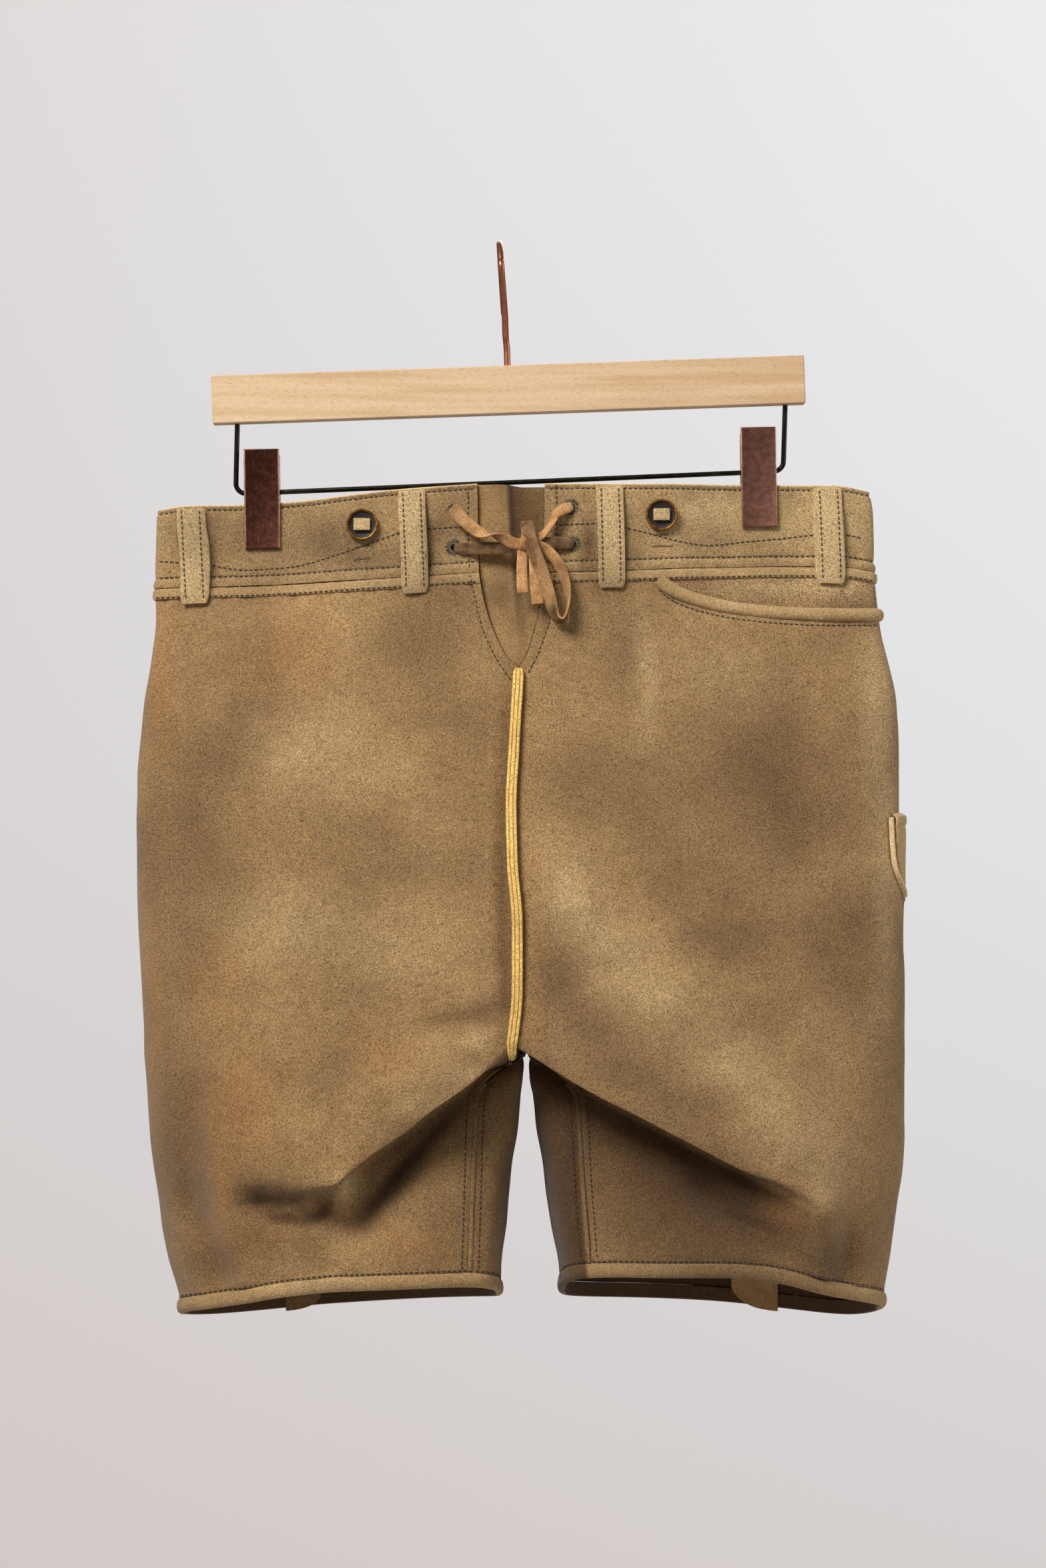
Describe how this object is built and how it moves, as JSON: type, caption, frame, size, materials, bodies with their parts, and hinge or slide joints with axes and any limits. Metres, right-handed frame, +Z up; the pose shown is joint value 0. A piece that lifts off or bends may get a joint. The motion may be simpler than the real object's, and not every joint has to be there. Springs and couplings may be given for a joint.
{
  "type": "lederhosen on a clip hanger",
  "caption": "Short suede lederhosen with laced fly, belt loops and curved front pocket, hung by the waistband from a wooden clip hanger.",
  "frame": {"origin": "seat of the hanger's hook, on the inside of its top, where a rail carries it", "axes": "+Z up, front of the garment faces -Y, the wearer's left side is at +X"},
  "size_m": [0.454, 0.1386, 0.6391],
  "materials": {
    "suede": "brown deerskin suede, napped, rubbed and stained",
    "cut_edge": "pale yellow raw cut edge",
    "lace_leather": "smooth tan thong leather",
    "thread": "dark grey-green sewing thread",
    "horn": "dark polished horn with a brown rim",
    "beech": "lacquered beech",
    "bronzed_steel": "dark bronzed wire",
    "aged_copper": "dark antique copper, rubbed bright along its edges",
    "copper_wire": "copper-plated wire"
  },
  "bodies": {
    "root": {"back_left": "suede", "back_right": "suede", "belt_loop_back_1": "suede", "belt_loop_back_2": "suede", "belt_loop_back_3": "suede", "belt_loop_front_1": "suede", "belt_loop_front_2": "suede", "belt_loop_front_3": "suede", "belt_loop_front_4": "suede", "button_back_left": "horn", "button_back_right": "horn", "button_front_left": "horn", "button_front_right": "horn", "button_tab_back_left": "lace_leather", "button_tab_back_right": "lace_leather", "button_tab_front_left": "lace_leather", "button_tab_front_right": "lace_leather", "centre_welt": "cut_edge", "clip_left_back": "aged_copper", "clip_left_front": "aged_copper", "clip_left_sleeve": "bronzed_steel", "clip_right_back": "aged_copper", "clip_right_front": "aged_copper", "clip_right_sleeve": "bronzed_steel", "front_left": "suede", "front_right": "suede", "hanger_bar": "beech", "hanger_hook": "copper_wire", "hanger_wire": "bronzed_steel", "hem_binding_left": "suede", "hem_binding_right": "suede", "knife_pocket": "suede", "knife_pocket_edge": "cut_edge", "lace_cross_left": "lace_leather", "lace_cross_right": "lace_leather", "lace_end_long": "lace_leather", "lace_end_short": "lace_leather", "lace_end_upper": "lace_leather", "lace_knot": "lace_leather", "lace_loop": "lace_leather", "lace_upper": "lace_leather", "pocket_facing": "suede", "pocket_piping": "suede", "tongue": "suede", "vent_facing_left": "cut_edge", "vent_facing_right": "cut_edge", "waist_strip_back": "suede", "waist_strip_left": "suede", "waist_strip_right": "suede", "waistband_back": "suede", "waistband_front_left": "suede", "waistband_front_right": "suede"}
  },
  "joints": []
}
